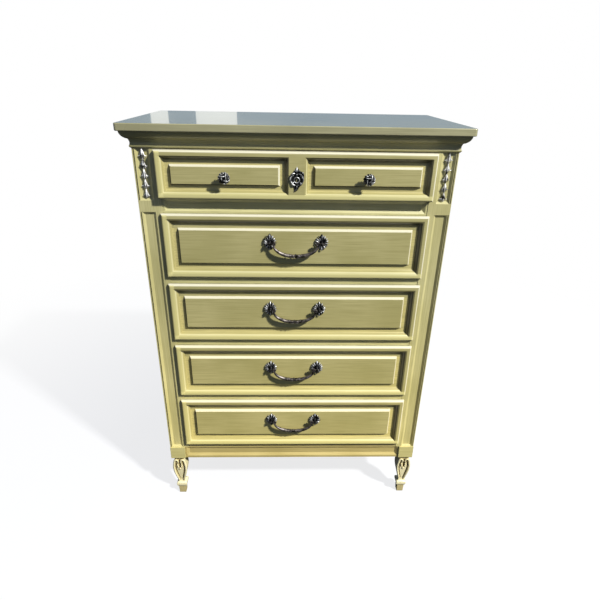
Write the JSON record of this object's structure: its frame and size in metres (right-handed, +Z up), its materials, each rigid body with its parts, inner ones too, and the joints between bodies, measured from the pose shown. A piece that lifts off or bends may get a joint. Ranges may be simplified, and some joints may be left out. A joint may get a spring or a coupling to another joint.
{
  "type": "tallboy chest of drawers",
  "caption": "Tall painted chest of drawers with raised-panel drawer fronts, bail pulls, sunk-panel stiles and lyre feet.",
  "frame": {"origin": "on the floor, in the middle of the object's width and depth", "axes": "+Z up, +Y towards the back of the case, -Y the way the drawers open, +X to the right seen from the front"},
  "size_m": [0.96, 0.52, 1.351],
  "materials": {
    "painted_wood": "olive celadon paint with a brown glaze, satin",
    "raw_wood": "bare, planed",
    "back_board": "bare plywood",
    "pewter": "antique pewter, worn on the high spots",
    "screw_steel": "zinc plated"
  },
  "bodies": {
    "case": {"top_slab": "painted_wood", "cornice_front": "painted_wood", "cornice_left": "painted_wood", "cornice_right": "painted_wood", "stile_left": "painted_wood", "stile_right": "painted_wood", "top_rail": "painted_wood", "waist_rail": "painted_wood", "drawer_rails": "painted_wood", "base_rail": "painted_wood", "side_base_rails": "painted_wood", "side_left": "painted_wood", "side_right": "painted_wood", "back_panel": "back_board", "back_screws": "screw_steel", "rear_posts": "raw_wood", "back_rails": "painted_wood", "bottom_board": "raw_wood", "base_blocks": "painted_wood", "foot_front_left": "painted_wood", "foot_front_right": "painted_wood", "foot_rear_left": "painted_wood", "foot_rear_right": "painted_wood", "drawer_runners": "raw_wood", "drawer_guides": "raw_wood", "dust_panels": "raw_wood", "husk_left": "painted_wood", "husk_right": "painted_wood"},
    "drawer_1": {"drawer_1_front": "painted_wood", "drawer_1_sides": "raw_wood", "drawer_1_back": "raw_wood", "drawer_1_bottom": "raw_wood", "knob_left": "pewter", "knob_right": "pewter", "escutcheon": "pewter"},
    "drawer_2": {"drawer_2_front": "painted_wood", "drawer_2_sides": "raw_wood", "drawer_2_back": "raw_wood", "drawer_2_bottom": "raw_wood", "pull_2_rosettes": "pewter"},
    "bail_2": {"pull_2_bail": "pewter"},
    "drawer_3": {"drawer_3_front": "painted_wood", "drawer_3_sides": "raw_wood", "drawer_3_back": "raw_wood", "drawer_3_bottom": "raw_wood", "pull_3_rosettes": "pewter"},
    "bail_3": {"pull_3_bail": "pewter"},
    "drawer_4": {"drawer_4_front": "painted_wood", "drawer_4_sides": "raw_wood", "drawer_4_back": "raw_wood", "drawer_4_bottom": "raw_wood", "pull_4_rosettes": "pewter"},
    "bail_4": {"pull_4_bail": "pewter"},
    "drawer_5": {"drawer_5_front": "painted_wood", "drawer_5_sides": "raw_wood", "drawer_5_back": "raw_wood", "drawer_5_bottom": "raw_wood", "pull_5_rosettes": "pewter"},
    "bail_5": {"pull_5_bail": "pewter"}
  },
  "joints": [
    {"name": "drawer_1_slide", "type": "slide", "parent": "case", "child": "drawer_1", "axis": [0, -1, 0], "range_m": [0, 0.34]},
    {"name": "drawer_2_slide", "type": "slide", "parent": "case", "child": "drawer_2", "axis": [0, -1, 0], "range_m": [0, 0.34]},
    {"name": "bail_2_hinge", "type": "hinge", "parent": "drawer_2", "child": "bail_2", "pos_m": [0, -0.236, 1.0235], "axis": [-1, 0, 0], "range_deg": [-10, 185]},
    {"name": "drawer_3_slide", "type": "slide", "parent": "case", "child": "drawer_3", "axis": [0, -1, 0], "range_m": [0, 0.34]},
    {"name": "bail_3_hinge", "type": "hinge", "parent": "drawer_3", "child": "bail_3", "pos_m": [0, -0.236, 0.8035], "axis": [-1, 0, 0], "range_deg": [-10, 185]},
    {"name": "drawer_4_slide", "type": "slide", "parent": "case", "child": "drawer_4", "axis": [0, -1, 0], "range_m": [0, 0.34]},
    {"name": "bail_4_hinge", "type": "hinge", "parent": "drawer_4", "child": "bail_4", "pos_m": [0, -0.236, 0.5835], "axis": [-1, 0, 0], "range_deg": [-10, 185]},
    {"name": "drawer_5_slide", "type": "slide", "parent": "case", "child": "drawer_5", "axis": [0, -1, 0], "range_m": [0, 0.34]},
    {"name": "bail_5_hinge", "type": "hinge", "parent": "drawer_5", "child": "bail_5", "pos_m": [0, -0.236, 0.3635], "axis": [-1, 0, 0], "range_deg": [-10, 185]}
  ]
}
